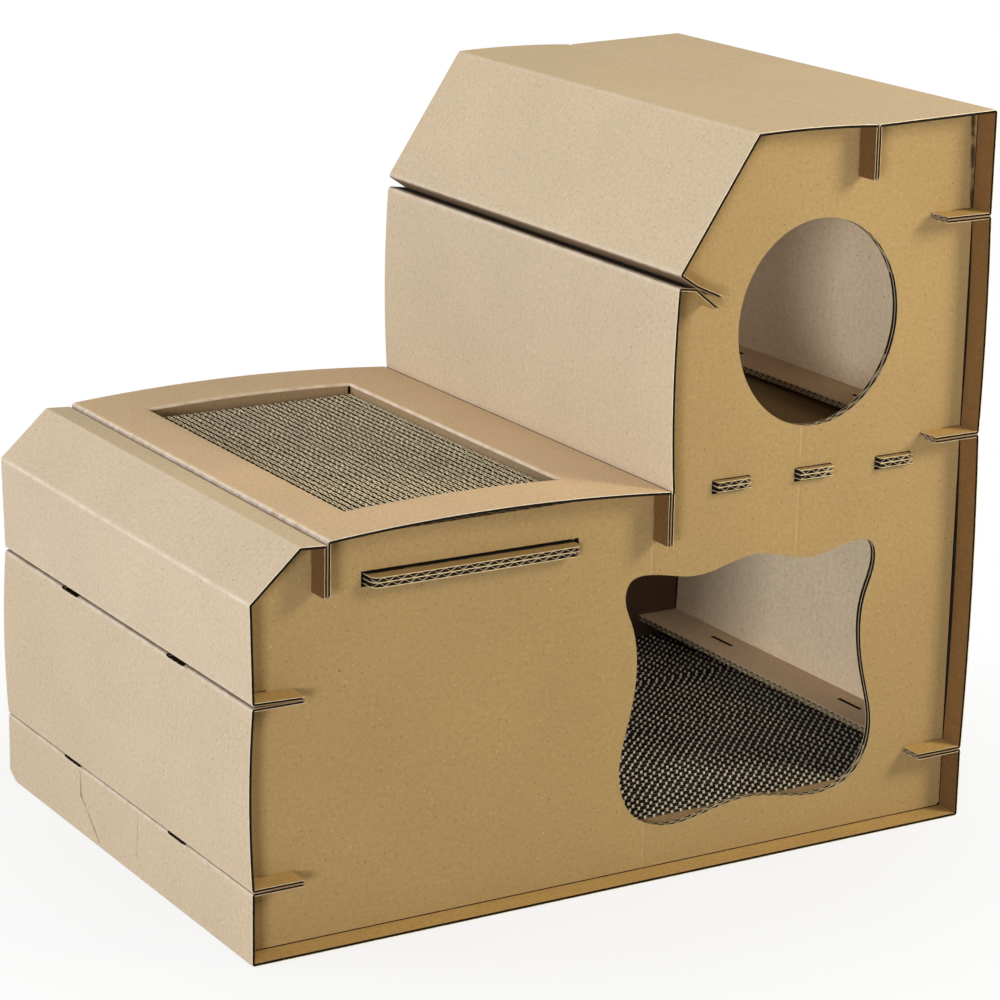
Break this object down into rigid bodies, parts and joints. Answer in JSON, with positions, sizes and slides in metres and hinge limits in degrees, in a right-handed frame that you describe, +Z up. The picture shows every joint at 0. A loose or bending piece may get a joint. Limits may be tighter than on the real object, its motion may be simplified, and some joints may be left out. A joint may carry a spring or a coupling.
{
  "type": "cardboard cat house",
  "caption": "Free-standing cardboard cat house: a low cabin with a crowned scratch deck beside a tower, with a wavy door, a round window and slotted flange joints.",
  "frame": {"origin": "middle of the base, on the surface that the house stands on", "axes": "+X from the low front to the tower's back, +Y from the side with the door to the plain side, +Z up"},
  "size_m": [0.605, 0.41, 0.541],
  "materials": {
    "skin_board": "matt kraft liner, pale tan with fine flecks",
    "panel_board": "matt kraft liner, golden brown",
    "pad_board": "open flutes of corrugated plies on edge"
  },
  "bodies": {
    "root": {"base_tray": "skin_board", "front_panel": "skin_board", "front_slope": "skin_board", "deck_panel": "skin_board", "riser": "skin_board", "roof": "skin_board", "rear_top": "skin_board", "back_upper": "skin_board", "back_lower": "skin_board", "near_side_panel": "panel_board", "far_side_panel": "panel_board", "deck_shelf": "panel_board", "tower_floor": "panel_board", "deck_pad": "pad_board", "floor_pad": "pad_board"}
  },
  "joints": []
}
